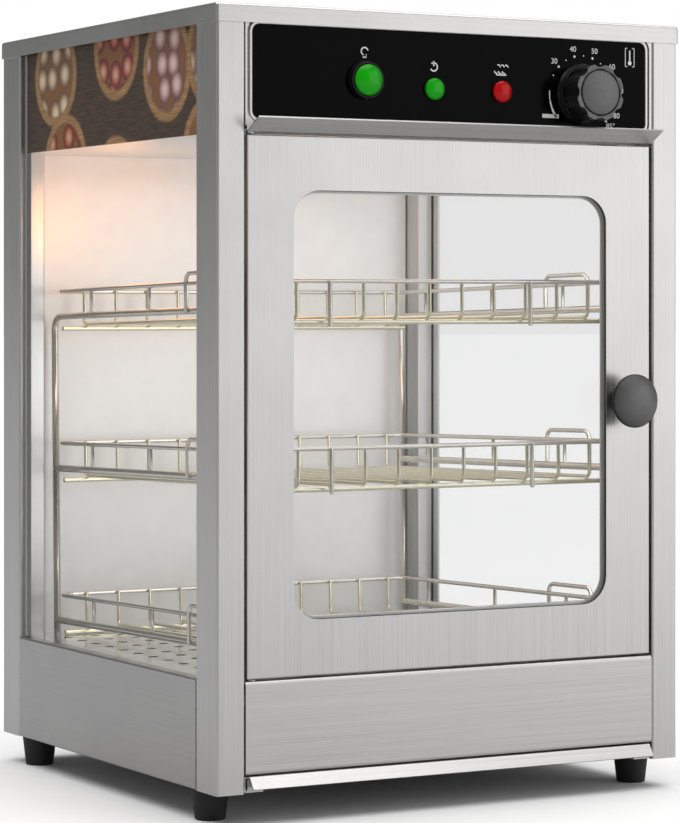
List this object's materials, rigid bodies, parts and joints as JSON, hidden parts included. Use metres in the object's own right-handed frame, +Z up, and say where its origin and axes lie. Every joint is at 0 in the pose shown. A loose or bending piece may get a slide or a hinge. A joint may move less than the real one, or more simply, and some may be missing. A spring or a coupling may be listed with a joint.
{
  "type": "heated display case",
  "caption": "Countertop heated display case: steel cabinet with glass sides, a hinged glazed door, a lobed thermostat knob, a lit push switch, a lift-out wire rack and a crumb tray.",
  "frame": {"origin": "middle of the whole at the level of the feet", "axes": "X to the right, Y to the back, Z up; the door faces -Y"},
  "size_m": [0.3544, 0.3732, 0.52],
  "materials": {
    "brushed_steel": "vertical brushing",
    "cover_steel": "lengthwise brushing",
    "satin_steel": "satin, reflective",
    "zinc_steel": "zinc plated",
    "clear_glass": "clear, polished edges",
    "printed_film": "printed",
    "black_panel": "gloss with white print",
    "black_plastic": "satin",
    "dark_grey_plastic": "satin",
    "green_lens": "clear, lit",
    "red_lens": "clear, lit",
    "ceramic": "glazed ceramic",
    "lamp_glass": "frosted, warm",
    "black_rubber": "matt",
    "copper_tube": "drawn",
    "lead_sleeve": "fibre sleeve",
    "element_steel": "heat tinted",
    "bright_wire": "bright wire",
    "magnet_black": "satin"
  },
  "bodies": {
    "cabinet": {"front_post_left": "brushed_steel", "front_post_right": "brushed_steel", "rear_post_left": "brushed_steel", "rear_post_right": "brushed_steel", "top_cover": "cover_steel", "side_panel_left": "cover_steel", "side_panel_right": "cover_steel", "lower_front_panel": "cover_steel", "base_rail_left": "satin_steel", "base_rail_right": "satin_steel", "floor_plate": "satin_steel", "ceiling_liner": "satin_steel", "back_liner": "satin_steel", "rear_cover": "cover_steel", "cord_gland": "black_plastic", "case_screws": "zinc_steel", "side_glass_left": "clear_glass", "side_glass_right": "clear_glass", "print_strip_left": "printed_film", "print_strip_right": "printed_film", "fascia_frame": "cover_steel", "control_plate": "cover_steel", "control_panel": "black_panel", "switch_body": "black_plastic", "power_lamp_lens": "green_lens", "heat_lamp_lens": "red_lens", "signal_lamp_bodies": "black_plastic", "dial_base": "black_plastic", "thermostat": "zinc_steel", "capillary": "copper_tube", "sensor_clips": "zinc_steel", "heating_element": "element_steel", "heater_hanger": "zinc_steel", "lamp_housing": "zinc_steel", "lamp_socket": "ceramic", "lamp_bulb": "lamp_glass", "lamp_cover": "lamp_glass", "terminal_block": "ceramic", "wiring": "lead_sleeve", "feet": "black_rubber", "foot_screws": "zinc_steel", "hinge_brackets": "zinc_steel", "magnet_catch": "magnet_black"},
    "door": {"door_frame": "brushed_steel", "door_seal": "black_rubber", "door_glass": "clear_glass", "door_inner_frame": "satin_steel", "door_knob": "dark_grey_plastic", "knob_screw": "zinc_steel", "strike_plate": "zinc_steel"},
    "tray": {"crumb_tray": "cover_steel"},
    "dial": {"thermostat_knob": "dark_grey_plastic", "thermostat_shaft": "zinc_steel"},
    "button": {"light_button": "green_lens"},
    "rack": {"rack_side_left": "bright_wire", "rack_side_right": "bright_wire", "rack_rims": "bright_wire", "rack_floor_bottom": "bright_wire", "rack_floor_middle": "bright_wire", "rack_floor_top": "bright_wire"}
  },
  "joints": [
    {"name": "door_hinge", "type": "hinge", "parent": "cabinet", "child": "door", "pos_m": [-0.1496, -0.1566, 0.265], "axis": [0, 0, -1], "range_deg": [0, 110]},
    {"name": "tray_slide", "type": "slide", "parent": "cabinet", "child": "tray", "axis": [0, -1, 0], "range_m": [0, 0.26]},
    {"name": "dial_turn", "type": "hinge", "parent": "cabinet", "child": "dial", "pos_m": [0.099, -0.17, 0.4708], "axis": [0, 1, 0], "range_deg": [0, 254]},
    {"name": "light_press", "type": "slide", "parent": "cabinet", "child": "button", "axis": [0, 1, 0], "range_m": [0, 0.003], "stiffness_N_per_m": 300},
    {"name": "rack_lift", "type": "slide", "parent": "cabinet", "child": "rack", "axis": [0, 0, 1], "range_m": [0, 0.06]}
  ]
}
